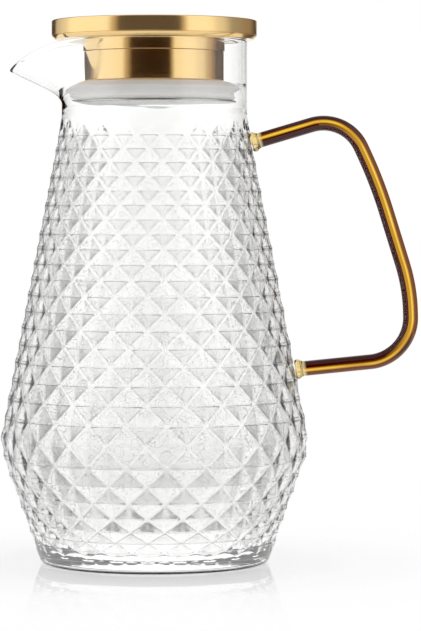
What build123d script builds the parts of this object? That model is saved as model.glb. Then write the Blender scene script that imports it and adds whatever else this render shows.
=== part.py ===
from build123d import *

import os
from math import asin, atan2, cos, pi, radians, sin, tan

# A glass pitcher with a lift-off lid. All lengths are in millimetres.
# +Z is up, the handle is at +X and the spout at -X.
# The origin is the centre of the foot, on the surface that the pitcher stands on.

# Glass body, outside
rim_height = 236.5
neck_radius = 42.0
neck_length = 34.0            # plain neck, from the rim down to the relief
waist_height = 57.2           # the widest line of the belly
waist_radius = 70.2
belt_drop = 8.6               # the belly turns in this far below its widest line
belt_inset = 0.9              # and is this much narrower there
heel_line_height = 5.4        # the plain heel ends here
heel_line_radius = 53.6
heel_round = 3.7
foot_width = 7.0              # the flat ring that the pitcher stands on
punt_rise = 2.6               # hollow under the foot

# Glass body, inside
neck_wall = 2.0
waist_wall = 3.0              # measured from the ridges of the relief
floor_height = 5.6
floor_round = 9.0
waist_round = 16.0
shoulder_round = 40.0         # where the belly's inside runs into the neck
rim_round = 0.7

# Diamond relief pressed into the glass
relief_columns = 24
relief_upper_rows = 20        # above the waist
relief_lower_rows = 8
relief_margin_above = 3.1     # smooth band under the plain neck
relief_margin_below = 0.9     # smooth band over the plain heel
relief_depth_share = 0.07     # depth over the width of a column at that height
row_growth_share = 0.54       # the rows get taller from the neck down to the waist
row_shrink_share = 0.7        # and shorter again from the waist down to the heel

# Pulled spout
spout_reach = 24.0            # tip beyond the neck
spout_tip_drop = 13.6         # tip below the rim
spout_root_drop = 25.5        # underside meets the neck this far below the rim
spout_axis_drop = 4.5         # axis of the cone that shapes the spout, below the rim
spout_wall = 2.0
spout_seam_round = 6.0
spout_channel_round = 5.0
mouth_dip_setback = 12.0      # the rim starts to dip this far inside the neck's radius
spout_back_share = 0.4        # the cone ends inside the neck, at this share of its radius

# Handle, a bent rod of amber glass
rod_radius = 3.5
handle_top_drop = 45.8        # from the rim down to where the rod's centreline meets the glass
handle_span = 102.6           # from there down to where its lower end meets the glass
handle_reach = 116.6          # the centreline's outermost corner, from the neck's axis
rod_setback = 0.6             # the rod ends this far outside the glass body
# Its corners from the top: height over the lower end, reach beyond the neck, and how much
# of the shorter run beside it each bend takes up
corner_height_shares = (1.12, 0.828, 0.361, 0.052)
corner_reach_shares = (0.598, 0.787, 0.988, 1)
bend_shares = (0.485, 0.418, 0.349, 0.586)

# Gathers of clear glass that melt the rod's ends onto the body
weld_radius = 5.2
weld_rise = 3.2               # how far a gather climbs the rod
weld_sink = 3.0               # its blank starts this deep, before the body is cut from it
weld_round = 1.8

# Lid
sheet = 0.8                   # thickness of the pressed steel
lid_seat_gap = 0.3            # under the lid's disc, over the glass rim
disc_overhang = 4.5           # the disc reaches this far beyond the neck
disc_height = 8.7
disc_chamfer = 1.8
disc_edge_round = 0.6
collar_step = 0.4             # the collar stands this far out from the drum
collar_drop = 5.3             # from the disc down to the seam over the drum
drum_gap = 8.6                # between the drum and the inside of the neck
drum_drop = 18.7              # from the disc down to the seal
drum_lip = 2.6                # width of the drum's turned-in edge
plug_clearance = 0.1          # between the plastic plug and the steel sleeves round it
plug_wall = 2.4
plug_floor = 3.0
plug_ribs = 6
base_plate_gap = 4.2          # between the base plate and the inside of the neck
base_plate_thickness = 0.6
lid_depth = 28.2              # from the disc down to the underside of the base plate

# Seal
seal_clearance = 0.3          # to the glass neck, and to the lid pieces round it
seal_skirt_inset = 3.9        # skirt inside the lip
seal_lip_drop = 2.6           # lip below the seal's top
seal_lip_edge = 0.5
seal_crown = 0.8              # bulge of the seal's top over a straight slope
seal_skirt_drop = 5.2         # top of the skirt below the seal's top
seal_foot_chamfer = 1.4
seal_groove_depth = 0.35      # shallow groove round the skirt
seal_groove_drop = 6.0        # its top edge below the seal's top
seal_groove_width = 0.6

# Screw that holds the lid together, and its boss
screw_radius = 2.5
screw_clearance = 0.05        # screw in the boss
screw_slack = 0.3             # screw in the plug
screw_head_radius = 4.8
screw_head_height = 2.6
screw_drive_radius = 1.5
screw_drive_depth = 1.6
screw_tip_gap = 2.0           # left over the screw's tip
boss_radius = 6.0
boss_length = 14.0
boss_clearance = 0.1

overrun = 5.0                 # how far a cutting tool runs past what it cuts

# Sizes that follow from those above
neck_line_height = rim_height - neck_length
belt_height = waist_height - belt_drop
belt_radius = waist_radius - belt_inset
neck_bore = neck_radius - neck_wall
disc_radius = neck_radius + disc_overhang
drum_radius = neck_bore - drum_gap
collar_radius = drum_radius + collar_step
base_plate_radius = neck_bore - base_plate_gap
mouth_dip_start = neck_radius - mouth_dip_setback
handle_top_height = rim_height - handle_top_drop
handle_low_height = handle_top_height - handle_span


def relief_heights():
    """Heights of the relief's row lines, from the neck down to the heel."""
    top = neck_line_height - relief_margin_above
    low = heel_line_height + relief_margin_below
    rows = relief_upper_rows
    steps = [1 + row_growth_share * (row / rows) ** 2 for row in range(rows)]
    heights = [top]
    for step in steps:
        heights.append(heights[-1] - step * (top - waist_height) / sum(steps))
    rows = relief_lower_rows
    steps = [1 - row_shrink_share * row / rows for row in range(rows)]
    for step in steps:
        heights.append(heights[-1] - step * (waist_height - low) / sum(steps))
    return heights


def ridge_radius(height):
    """Outside radius of the glass over the relief's ridges."""
    outline = [
        (heel_line_height, heel_line_radius),
        (belt_height, belt_radius),
        (waist_height, waist_radius),
        (neck_line_height, neck_radius),
        (rim_height, neck_radius),
    ]
    for (low, low_radius), (high, high_radius) in zip(outline, outline[1:]):
        if height <= high:
            break
    return low_radius + (high_radius - low_radius) * (height - low) / (high - low)


def relief_point(heights, row, half_column):
    """Corner of the diamonds: a deep one where the grooves cross, else a ridge one."""
    height = heights[row]
    radius = ridge_radius(height)
    grooves_cross = (row + half_column) % 2 == 0
    smooth_edge = row == 0 or row == len(heights) - 1
    if grooves_cross and not smooth_edge:
        radius -= relief_depth_share * 2 * pi * radius / relief_columns
    angle = pi * half_column / relief_columns
    return Vector(radius * cos(angle), radius * sin(angle), height)


def diamond_facets(heights):
    """Four triangles round each diamond's point, row by row."""
    facets = []
    last = len(heights) - 1
    for row in range(last + 1):
        for half_column in range(2 * relief_columns):
            if (row + half_column) % 2 == 0:
                continue
            point = relief_point(heights, row, half_column)
            left = relief_point(heights, row, half_column - 1)
            right = relief_point(heights, row, half_column + 1)
            if row > 0:
                above = relief_point(heights, row - 1, half_column)
                facets.append(Face(Wire.make_polygon([point, right, above])))
                facets.append(Face(Wire.make_polygon([point, above, left])))
            if row < last:
                below = relief_point(heights, row + 1, half_column)
                facets.append(Face(Wire.make_polygon([point, left, below])))
                facets.append(Face(Wire.make_polygon([point, below, right])))
    return facets


def smooth_band(heights, row, height, radius):
    """Ruled faces from a row line of the relief to a plain circle, and the disc in it."""
    faces = []
    arcs = []
    step = 180 / relief_columns
    for half_column in range(2 * relief_columns):
        start = step * half_column
        arc = Edge.make_circle(
            radius, Plane.XY.offset(height), start_angle=start, end_angle=start + step
        )
        side = Edge.make_line(
            relief_point(heights, row, half_column),
            relief_point(heights, row, half_column + 1),
        )
        faces.append(Face.make_surface_from_curves(side, arc))
        arcs.append(arc)
    faces.append(Face(Wire(arcs)))
    return faces


def relief_belly():
    """The whole belly as one solid, with the relief on its outside."""
    heights = relief_heights()
    faces = diamond_facets(heights)
    faces += smooth_band(heights, 0, neck_line_height, neck_radius)
    faces += smooth_band(heights, len(heights) - 1, heel_line_height, heel_line_radius)
    return Solid(Shell(faces))


def turned(points):
    """Solid of revolution about Z from a closed outline of radius and height."""
    outline = Plane.XZ * make_face(Polyline(*points, close=True))
    return revolve(outline, axis=Axis.Z)


def heel():
    """Rounded heel with the foot ring and the hollow under it."""
    slope = (belt_radius - heel_line_radius) / (belt_height - heel_line_height)
    corner = heel_line_radius - slope * heel_line_height
    outline = make_face(
        Polyline((0, 0), (corner, 0), (heel_line_radius, heel_line_height),
                 (0, heel_line_height), close=True)
    )
    outline = fillet(outline.vertices().sort_by(Axis.X)[-2], heel_round)
    solid = revolve(Plane.XZ * outline, axis=Axis.Z)
    turn = pi / 2 + atan2(slope, 1)
    ring_radius = corner - heel_round * tan(turn / 2) - foot_width
    dome_radius = (ring_radius ** 2 + punt_rise ** 2) / (2 * punt_rise)
    dome = Pos(0, 0, punt_rise - dome_radius) * Sphere(dome_radius)
    return solid - dome


def spout_slope():
    """Angle of the spout's underside over the horizontal."""
    return atan2(spout_root_drop - spout_tip_drop, spout_reach)


def spout_cone(shift):
    """Cone that shapes the spout, its point moved back towards the neck by shift."""
    slope = spout_slope()
    tip = neck_radius + spout_reach
    point = tip + (spout_tip_drop - spout_axis_drop) / tan(slope) - shift
    back = neck_radius * spout_back_share
    height = rim_height - spout_axis_drop
    outline = make_face(
        Polyline((-point, height), (-back, height),
                 (-back, height - (point - back) * tan(slope)), close=True)
    )
    return revolve(Plane.XZ * outline, axis=Axis((0, 0, height), (1, 0, 0)))


def over_the_mouth():
    """All that lies over the rim, which dips in an arc down to the spout's tip."""
    tip = neck_radius + spout_reach
    run = tip - mouth_dip_start
    arc_radius = (run ** 2 + spout_tip_drop ** 2) / (2 * spout_tip_drop)
    turn = asin(run / arc_radius)
    middle = (
        -mouth_dip_start - arc_radius * sin(turn / 2),
        rim_height - arc_radius + arc_radius * cos(turn / 2),
    )
    beyond = (-tip - tip * cos(turn), rim_height - spout_tip_drop - tip * sin(turn))
    top = rim_height + tip
    line = ThreePointArc(
        (-mouth_dip_start, rim_height), middle, (-tip, rim_height - spout_tip_drop)
    ) + Polyline(
        (-tip, rim_height - spout_tip_drop), beyond, (beyond[0], top),
        (tip, top), (tip, rim_height), (-mouth_dip_start, rim_height),
    )
    return extrude(Plane.XZ * make_face(line), tip, both=True)


def seam_edges(solid):
    """Where the spout's cone crosses the round neck."""
    return solid.edges().filter_by(lambda edge: edge.geom_type == GeomType.BSPLINE)


def mouth_edges(solid):
    """Edges round the cut mouth: the flat rim, and the arc that dips to the spout's tip."""
    tip = rim_height - spout_tip_drop
    kinds = (GeomType.PLANE, GeomType.CYLINDER)
    faces = [
        face for face in solid.faces()
        if face.geom_type in kinds and face.center().Z > tip and face.normal_at().Z > 0
    ]
    edges = [edge for face in faces for edge in face.edges()]
    return [
        edge for edge in edges if sum(edge.is_same(other) for other in edges) == 1
    ]


def neck_blank():
    """Plain neck before its spout is pulled and its inside is cut."""
    return extrude(Pos(0, 0, neck_line_height) * Circle(neck_radius), neck_length)


def neck_with_spout(inside):
    """Plain neck and the spout pulled out of its rim, its lip melted round."""
    joined = neck_blank() + spout_cone(0)
    joined = fillet(seam_edges(joined), spout_seam_round) - over_the_mouth()
    hollow = fillet(mouth_edges(joined), rim_round) - inside
    inner = [edge for edge in mouth_edges(hollow) if edge.distance_to(inside) < rim_round / 2]
    return fillet(inner, rim_round)


def cavity():
    """Smooth inside of the belly and the neck, and the channel in the spout."""
    slope = (belt_radius - heel_line_radius) / (belt_height - heel_line_height)
    belt = belt_radius - waist_wall
    corners = {
        (belt - slope * (belt_height - floor_height), floor_height): floor_round,
        (belt, belt_height): waist_round,
        (waist_radius - waist_wall, waist_height): waist_round,
        (neck_bore, neck_line_height): shoulder_round,
    }
    top = rim_height + overrun
    outline = make_face(
        Polyline((0, floor_height), *corners, (neck_bore, top), (0, top), close=True)
    )
    for corner, size in corners.items():
        outline = fillet(outline.vertices().sort_by_distance(corner)[0], size)
    inside = revolve(Plane.XZ * outline, axis=Axis.Z)
    channel = spout_cone(spout_wall / sin(spout_slope()))
    joined = inside + channel
    return fillet(seam_edges(joined), spout_channel_round)


def glass_body(belly):
    """One blown piece: relief belly, heel, neck and spout, hollowed as one."""
    inside = cavity()
    return belly + heel() - inside + neck_with_spout(inside)


def handle_corners():
    """Corners of the rod's centreline, from the upper end to the lower."""
    upper = Vector(ridge_radius(handle_top_height) + rod_setback, 0, handle_top_height)
    lower = Vector(ridge_radius(handle_low_height) + rod_setback, 0, handle_low_height)
    between = [
        Vector(
            neck_radius + reach_share * (handle_reach - neck_radius), 0,
            handle_low_height + height_share * handle_span,
        )
        for reach_share, height_share in zip(corner_reach_shares, corner_height_shares)
    ]
    return [upper, *between, lower]


def bend_radii(corners):
    """Radius of each bend, from the share that it takes of the shorter run beside it."""
    radii = []
    for before, corner, after, share in zip(corners, corners[1:], corners[2:], bend_shares):
        run_in = corner - before
        run_out = after - corner
        half_turn = radians(run_in.get_angle(run_out)) / 2
        radii.append(share * min(run_in.length, run_out.length) / tan(half_turn))
    return radii


def handle():
    """Bent rod: straight runs joined by arcs, round all along."""
    corners = handle_corners()
    path = FilletPolyline(*corners, radius=bend_radii(corners))
    start = Plane(origin=path @ 0, z_dir=path % 0)
    return sweep(start * Circle(rod_radius), path=path)


def handle_weld(end, corner, belly, rod):
    """Gather of glass round one end of the rod, shaped by the glass it is melted onto."""
    run = (corner - end).normalized()
    foot = Plane(origin=end - run * weld_sink, z_dir=run)
    gather = foot * extrude(Circle(weld_radius), weld_sink + weld_rise)
    rims = gather.edges().filter_by(GeomType.CIRCLE)
    outer_rim = rims.sort_by_distance(end + run * weld_rise)[0]
    return fillet(outer_rim, weld_round) - belly - neck_blank() - rod


def disc_low():
    """Height of the underside of the lid's disc."""
    return rim_height + lid_seat_gap


def lid_top_shell():
    """Drawn steel pan, open below."""
    low = disc_low()
    top = low + disc_height
    seam = low + disc_chamfer
    outline = make_face(
        Polyline((0, top), (disc_radius, top), (disc_radius, seam),
                 (disc_radius - sheet, seam), (disc_radius - sheet, top - sheet),
                 (0, top - sheet), close=True)
    )
    corner = outline.vertices().sort_by_distance((disc_radius, top))[0]
    outline = fillet(corner, disc_edge_round)
    return revolve(Plane.XZ * outline, axis=Axis.Z)


def lid_under_plate():
    """Steel plate that closes the pan: bevelled edge, and a rim that stands inside."""
    low = disc_low()
    seam = low + disc_chamfer
    inside = disc_radius - sheet
    hole = boss_radius + boss_clearance
    rim_top = seam + disc_chamfer
    return turned([
        (hole, low), (disc_radius - disc_chamfer, low), (disc_radius, seam),
        (inside, seam), (inside, rim_top), (inside - sheet, rim_top),
        (inside - sheet, seam), (inside - disc_chamfer, low + sheet), (hole, low + sheet),
    ])


def lid_collar():
    """Steel ring between the disc and the drum."""
    low = disc_low()
    return turned([
        (drum_radius - sheet, low - collar_drop), (collar_radius, low - collar_drop),
        (collar_radius, low), (drum_radius - sheet, low),
    ])


def lid_drum():
    """Steel sleeve under the collar, its lower edge turned in."""
    seam = disc_low() - collar_drop
    low = disc_low() - drum_drop
    inside = drum_radius - sheet
    return turned([
        (inside - drum_lip, low), (drum_radius, low), (drum_radius, seam),
        (inside, seam), (inside, low + sheet), (inside - drum_lip, low + sheet),
    ])


def screw_cone(clearance):
    """Countersunk head of the screw, widened by a clearance, flush with the plate."""
    low = disc_low() - lid_depth
    return Pos(0, 0, low) * Cone(
        screw_head_radius + clearance, screw_radius + clearance, screw_head_height,
        align=(Align.CENTER, Align.CENTER, Align.MIN),
    )


def rod_up(radius, low, high):
    """Round bar on the lid's axis, from one height to another."""
    return extrude(Pos(0, 0, low) * Circle(radius), high - low)


def lid_plug():
    """Plastic core: fills the drum, carries the seal on its hub, ribbed inside."""
    low = disc_low() - lid_depth + base_plate_thickness
    shoulder = disc_low() - drum_drop + sheet
    top = disc_low()
    radius = drum_radius - sheet - plug_clearance
    hub = radius - drum_lip
    boss_low = top + disc_height - sheet - boss_length
    seat = boss_radius + boss_clearance
    plug = rod_up(radius, shoulder, top) + rod_up(hub, low, shoulder)
    pocket_low = shoulder + plug_floor
    reach = radius - plug_wall
    pocket = rod_up(reach, pocket_low, top) - rod_up(seat + plug_wall, pocket_low, top)
    for rib in range(plug_ribs):
        bar = Box(radius, plug_wall, top - pocket_low)
        bar = Pos(radius / 2, 0, (pocket_low + top) / 2) * bar
        pocket -= Rot(0, 0, rib * 360 / plug_ribs) * bar
    plug -= pocket
    plug -= rod_up(seat, boss_low, top)
    plug -= rod_up(screw_radius + screw_slack, low, boss_low)
    return plug - screw_cone(screw_clearance)


def base_plate():
    """Thin steel disc under the seal, countersunk for the screw."""
    low = disc_low() - lid_depth
    plate = rod_up(base_plate_radius, low, low + base_plate_thickness)
    return plate - screw_cone(screw_clearance)


def lid_boss():
    """Threaded boss welded under the pan, here with a plain blind bore."""
    top = disc_low() + disc_height - sheet
    low = top - boss_length
    boss = rod_up(boss_radius, low, top)
    return boss - rod_up(screw_radius + screw_clearance, low, top - plug_floor)


def lid_screw():
    """Countersunk screw from the base plate up into the boss."""
    low = disc_low() - lid_depth
    bore_top = disc_low() + disc_height - sheet - plug_floor
    screw = screw_cone(0) + rod_up(screw_radius, low + screw_head_height, bore_top - screw_tip_gap)
    socket = extrude(
        Pos(0, 0, low) * RegularPolygon(screw_drive_radius, 6), screw_drive_depth
    )
    return screw - socket


def seal_ring():
    """Silicone ring: crowned top, thin lip near the glass, and a skirt under it."""
    top = disc_low() - drum_drop - seal_clearance
    foot = disc_low() - lid_depth + base_plate_thickness + seal_clearance
    bore = drum_radius - sheet - plug_clearance - drum_lip + seal_clearance
    lip = neck_bore - seal_clearance
    skirt = lip - seal_skirt_inset
    lip_height = top - seal_lip_drop
    groove = skirt - seal_groove_depth
    groove_top = top - seal_groove_drop
    groove_low = groove_top - seal_groove_width
    middle = ((drum_radius + lip) / 2, (top + lip_height) / 2 + seal_crown)
    line = Polyline((bore, top), (drum_radius, top)) + ThreePointArc(
        (drum_radius, top), middle, (lip, lip_height)
    ) + Polyline(
        (lip, lip_height), (lip, lip_height - seal_lip_edge), (skirt, top - seal_skirt_drop),
        (skirt, groove_top), (groove, groove_top), (groove, groove_low), (skirt, groove_low),
        (skirt, foot + seal_foot_chamfer), (skirt - seal_foot_chamfer, foot),
        (bore, foot), (bore, top),
    )
    return revolve(Plane.XZ * make_face(line), axis=Axis.Z)


def main():
    belly = relief_belly()
    rod = handle()
    corners = handle_corners()
    pieces = {
        "glass_body": glass_body(belly),
        "handle": rod,
        "handle_upper_weld": handle_weld(corners[0], corners[1], belly, rod),
        "handle_lower_weld": handle_weld(corners[-1], corners[-2], belly, rod),
        "lid_top_shell": lid_top_shell(),
        "lid_under_plate": lid_under_plate(),
        "lid_collar": lid_collar(),
        "lid_drum": lid_drum(),
        "lid_plug": lid_plug(),
        "lid_boss": lid_boss(),
        "lid_screw": lid_screw(),
        "base_plate": base_plate(),
        "seal_ring": seal_ring(),
    }
    os.makedirs("parts", exist_ok=True)
    for name, piece in pieces.items():
        export_step(piece, f"parts/{name}.step")
        print(f"{name}: {piece.volume:.0f} mm3, {len(piece.faces())} faces")


main()
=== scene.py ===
# %% [markdown]
# A glass pitcher with a gold coloured lid, dressed for a photograph.
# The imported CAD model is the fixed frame: it says where every piece is. What follows builds
# finer glass, metal and rubber over it, and lights it so that clear glass can be seen.

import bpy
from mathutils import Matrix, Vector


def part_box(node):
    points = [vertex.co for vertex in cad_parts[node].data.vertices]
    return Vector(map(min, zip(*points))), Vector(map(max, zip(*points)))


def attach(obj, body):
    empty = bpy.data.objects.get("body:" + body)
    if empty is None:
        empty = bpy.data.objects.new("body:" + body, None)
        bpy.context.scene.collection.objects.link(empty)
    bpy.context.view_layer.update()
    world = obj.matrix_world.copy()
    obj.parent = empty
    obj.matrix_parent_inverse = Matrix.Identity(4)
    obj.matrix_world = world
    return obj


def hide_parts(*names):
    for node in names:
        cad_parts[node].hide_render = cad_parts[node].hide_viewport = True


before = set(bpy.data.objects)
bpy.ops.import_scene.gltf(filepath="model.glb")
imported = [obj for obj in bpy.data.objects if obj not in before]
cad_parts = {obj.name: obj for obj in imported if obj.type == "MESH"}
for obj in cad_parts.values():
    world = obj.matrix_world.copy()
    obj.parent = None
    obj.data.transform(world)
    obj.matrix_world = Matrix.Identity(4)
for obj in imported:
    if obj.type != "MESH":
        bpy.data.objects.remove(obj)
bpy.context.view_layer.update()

# %% [markdown]
# Lengths are written in millimetres, as on a workshop drawing, and turned into metres by `mm`.
# The heights and radii of the main pieces are read from the frame, so the looks follow the CAD.

# %% Sizes from the frame
from math import acos, asin, atan2, cos, degrees, hypot, pi, radians, sin, sqrt, tan

import bmesh
import bpy
from mathutils import Matrix, Vector

mm = 0.001
glass_low, glass_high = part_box("glass_body")
rim_height = glass_high.z
shell_low, shell_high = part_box("lid_top_shell")
disc_radius = shell_high.x
disc_top = shell_high.z
disc_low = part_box("lid_under_plate")[0].z
collar_low, collar_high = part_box("lid_collar")
drum_low, drum_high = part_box("lid_drum")
plate_low, plate_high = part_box("base_plate")
seal_low, seal_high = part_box("seal_ring")
print("rim", rim_height, "disc", disc_radius, disc_low, disc_top)

# %% [markdown]
# The camera comes first. The photograph was taken with a long lens at about two thirds of the
# pitcher's height, a little to the handle's side. A long lens keeps the sides nearly parallel.
# The lens is worked out from the size of the pitcher in the picture, and the aim is the point
# that the picture's centre looks at.

# %% Camera
camera_distance = 1.35
camera_height = 163 * mm
camera_side = radians(2.0)
aim_right = 25.4 * mm
aim_down = radians(2.16)

bpy.ops.object.select_all(action="DESELECT")
bpy.ops.object.camera_add()
camera = bpy.context.object
camera.name = "photo_camera"
camera.data.sensor_fit = "AUTO"
camera.data.sensor_width = 36
camera.data.lens = 36 * 2974 / 631
camera.data.clip_end = 20
view_back = Vector((sin(camera_side), -cos(camera_side), 0))
view_right = Vector((cos(camera_side), sin(camera_side), 0))
camera.location = view_back * camera_distance + Vector((0, 0, camera_height)) + view_right * aim_right
camera.rotation_euler = (pi / 2 - aim_down, 0, camera_side)
bpy.context.scene.camera = camera
bpy.context.scene.view_settings.view_transform = "Standard"
print("lens", camera.data.lens)

# %% [markdown]
# Clear glass in a white room vanishes. What shows it is the dark that it picks up at its edges,
# so a glass photographer puts black cards just outside the picture. The world does the same here.
# The camera sees plain white; what goes through glass sees white with a few grey cards; and the
# metal sees a warm dark card behind the camera with bright boxes at both sides of it.

# %% World
world = bpy.data.worlds.new("studio")
bpy.context.scene.world = world
world.use_nodes = True
nodes = world.node_tree.nodes
links = world.node_tree.links
nodes.clear()


def add_math(tree, operation, first, second=None, third=None, clamp=False):
    """A Math node fed by sockets or plain numbers; gives back its output."""
    node = tree.nodes.new("ShaderNodeMath")
    node.operation = operation
    node.use_clamp = clamp
    for slot, value in enumerate((first, second, third)):
        if value is None:
            continue
        if isinstance(value, (int, float)):
            node.inputs[slot].default_value = value
        else:
            tree.links.new(value, node.inputs[slot])
    return node.outputs[0]


def add_ramp(tree, fac, stops, interpolation="EASE"):
    """A colour ramp from a list of (place, grey or colour) stops."""
    node = tree.nodes.new("ShaderNodeValToRGB")
    node.color_ramp.interpolation = interpolation
    ramp = node.color_ramp.elements
    while len(ramp) > 1:
        ramp.remove(ramp[-1])
    for index, (place, colour) in enumerate(stops):
        stop = ramp[0] if index == 0 else ramp.new(place)
        stop.position = place
        if isinstance(colour, (int, float)):
            colour = (colour, colour, colour)
        stop.color = (*colour, 1)
    tree.links.new(fac, node.inputs["Fac"])
    return node.outputs["Color"]


def add_mix(tree, fac, first, second, blend="MIX"):
    """A colour Mix node fed by sockets or plain colours."""
    node = tree.nodes.new("ShaderNodeMix")
    node.data_type = "RGBA"
    node.blend_type = blend
    for name, value in (("Factor", fac), ("A", first), ("B", second)):
        socket = [s for s in node.inputs if s.name == name and s.enabled][0]
        if isinstance(value, (int, float)):
            socket.default_value = value if name == "Factor" else (value, value, value, 1)
        elif isinstance(value, tuple):
            socket.default_value = (*value, 1)
        else:
            tree.links.new(value, socket)
    return [s for s in node.outputs if s.enabled][0]


tree = world.node_tree
way = nodes.new("ShaderNodeTexCoord").outputs["Generated"]
split = nodes.new("ShaderNodeSeparateXYZ")
links.new(way, split.inputs[0])
rays = nodes.new("ShaderNodeLightPath")

# %% [markdown]
# Directions in the room are turned into two angles in degrees: round the pitcher, where 0 is
# straight behind the photo camera and plus is the handle's side, and up over the horizon.
# Ramps over these angles then place the cards. Metal mirrors the room behind the camera, so its
# dark card stands there, with a bright box at each side.

# %% Cards that the metal mirrors
around = add_math(tree, "ARCTAN2", split.outputs["X"], add_math(tree, "MULTIPLY", split.outputs["Y"], -1))
around = add_math(tree, "SUBTRACT", add_math(tree, "DEGREES", around), degrees(camera_side))
rise = add_math(tree, "DEGREES", add_math(tree, "ARCSINE", split.outputs["Z"]))


def angle_ramp(angle, low, high, stops, interpolation="EASE"):
    """A ramp over an angle between two limits, its stops given in degrees."""
    share = add_math(tree, "DIVIDE", add_math(tree, "SUBTRACT", angle, low), high - low)
    return add_ramp(tree, share, [((stop - low) / (high - low), value) for stop, value in stops], interpolation)


dark_card = (0.024, 0.008, 0.002)
warm_edge = (0.52, 0.42, 0.31)
warm_shade = (0.26, 0.20, 0.15)
box_light = 1.15
metal_cards = angle_ramp(around, -180, 180, [
    (-180, 1.0), (-172, 1.0), (-165, dark_card), (-132, dark_card), (-120, warm_shade), (-104, box_light), (-54, box_light), (-45, warm_edge),
    (-35, dark_card), (26, dark_card), (30, warm_edge), (35, box_light), (64, box_light), (84, 0.95), (104, warm_edge),
    (114, warm_shade), (126, dark_card), (165, dark_card), (172, 1.0), (180, 1.0),
])
card_band = angle_ramp(rise, -90, 90, [(-90, 0.0), (-40, 0.0), (-25, 1.0), (40, 1.0), (60, 0.0), (90, 0.0)])
metal_sky = angle_ramp(rise, -90, 90, [(-90, 0.7), (-30, 0.8), (40, 0.75), (60, 0.5), (90, 0.4)])
metal_room = add_mix(tree, card_band, metal_sky, metal_cards)
outside_cards = angle_ramp(around, -180, 180, [
    (-180, 1.0), (-172, 0.9), (-162, dark_card), (-148, dark_card), (-138, 0.55), (-118, 0.8), (-104, box_light),
    (-54, box_light), (-45, warm_edge), (-38, dark_card), (29, dark_card), (34, warm_edge), (40, box_light),
    (64, box_light), (80, 0.8), (102, 0.3), (130, warm_shade), (158, dark_card), (172, 0.9), (180, 1.0),
])
outside_metal_room = add_mix(tree, card_band, metal_sky, outside_cards)

# %% [markdown]
# Each small facet of the pressed glass turns the light by a few degrees only. In an even room
# they would all be white, so what the glass sees has white windows with a dark edge at one side,
# again and again round the room, and it turns grey just over the horizon. The upper facets of a
# diamond look down at the white table and shine, and the lower ones look up and are grey.

# %% Windows that the glass sees
beside_window = add_math(tree, "WRAP", around, 22.5, -22.5)
glass_cards = angle_ramp(beside_window, -22.5, 22.5, [
    (-22.5, 0.32), (-20.5, 0.2), (-18, 0.66), (-15, 1.0), (16, 1.0), (19, 0.85), (21, 0.5), (22.5, 0.32),
])
glass_sky = angle_ramp(rise, -90, 90, [
    (-90, 1.0), (10, 1.0), (12, 0.92), (15, 0.45), (18, 0.4), (23, 0.75), (32, 1.0), (50, 0.8), (90, 0.5),
])
window_light = 1.14
glass_room = add_mix(tree, 1.0, glass_cards, glass_sky, "MULTIPLY")
glass_room = add_mix(tree, 1.0, glass_room, (window_light, window_light, window_light), "MULTIPLY")
open_room = angle_ramp(add_math(tree, "ABSOLUTE", around), 0, 180, [(0, 0.03), (25, 0.1), (50, 0.6), (80, 0.95), (110, 1.05), (180, 1.05)])
bright_room = angle_ramp(add_math(tree, "ABSOLUTE", around), 0, 180, [(0, 0.25), (25, 0.4), (50, 0.8), (80, 1.0), (180, 1.05)])

# %% [markdown]
# Which room a ray sees depends on its way. A ray that went through two surfaces only, or through
# more than four, has been inside a rod or an edge of thick glass, and it sees an open bright room.
# After four it has been through both walls, and it sees the windows. A ray that bounced off metal sees the metal's room,
# straight or through both sides of the neck. What lights a matt surface is an even soft room.
# The camera sees plain white.

# %% Choose the room by the ray
soft_room = angle_ramp(rise, -90, 90, [(-90, 0.85), (-10, 0.95), (20, 1.0), (90, 1.0)])
surfaces = rays.outputs["Transmission Depth"]
through_glass = add_mix(tree, add_math(tree, "LESS_THAN", surfaces, 2.5), glass_room, open_room)
through_glass = add_mix(tree, add_math(tree, "GREATER_THAN", surfaces, 4.5), through_glass, bright_room)
neck_only = add_math(tree, "COMPARE", surfaces, 4, 0.5)
outside = add_math(tree, "LESS_THAN", surfaces, 0.5)
bounced = add_math(tree, "GREATER_THAN", rays.outputs["Glossy Depth"], 0.5)
mirrored = add_math(tree, "MULTIPLY", bounced, add_math(tree, "MAXIMUM", neck_only, outside))
room = add_mix(tree, rays.outputs["Is Transmission Ray"], soft_room, through_glass)
room = add_mix(tree, mirrored, room, add_mix(tree, outside, metal_room, outside_metal_room))
room = add_mix(tree, add_math(tree, "GREATER_THAN", rays.outputs["Diffuse Depth"], 0.5), room, soft_room)
room = add_mix(tree, rays.outputs["Is Camera Ray"], room, (1.0, 1.0, 1.0))
background = nodes.new("ShaderNodeBackground")
links.new(room, background.inputs["Color"])
background.inputs["Strength"].default_value = 1.0
world_output = nodes.new("ShaderNodeOutputWorld")
links.new(background.outputs[0], world_output.inputs["Surface"])
world.cycles.sampling_method = "NONE"
print("world nodes", len(nodes))

# %% [markdown]
# The pitcher stands on a round white table. The camera sees it as plain white, so its edge melts
# into the background, with the faint mirror image of the foot that a polished table gives. Other
# rays meet a white surface, so that it lights the glass from below as paper would.

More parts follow.
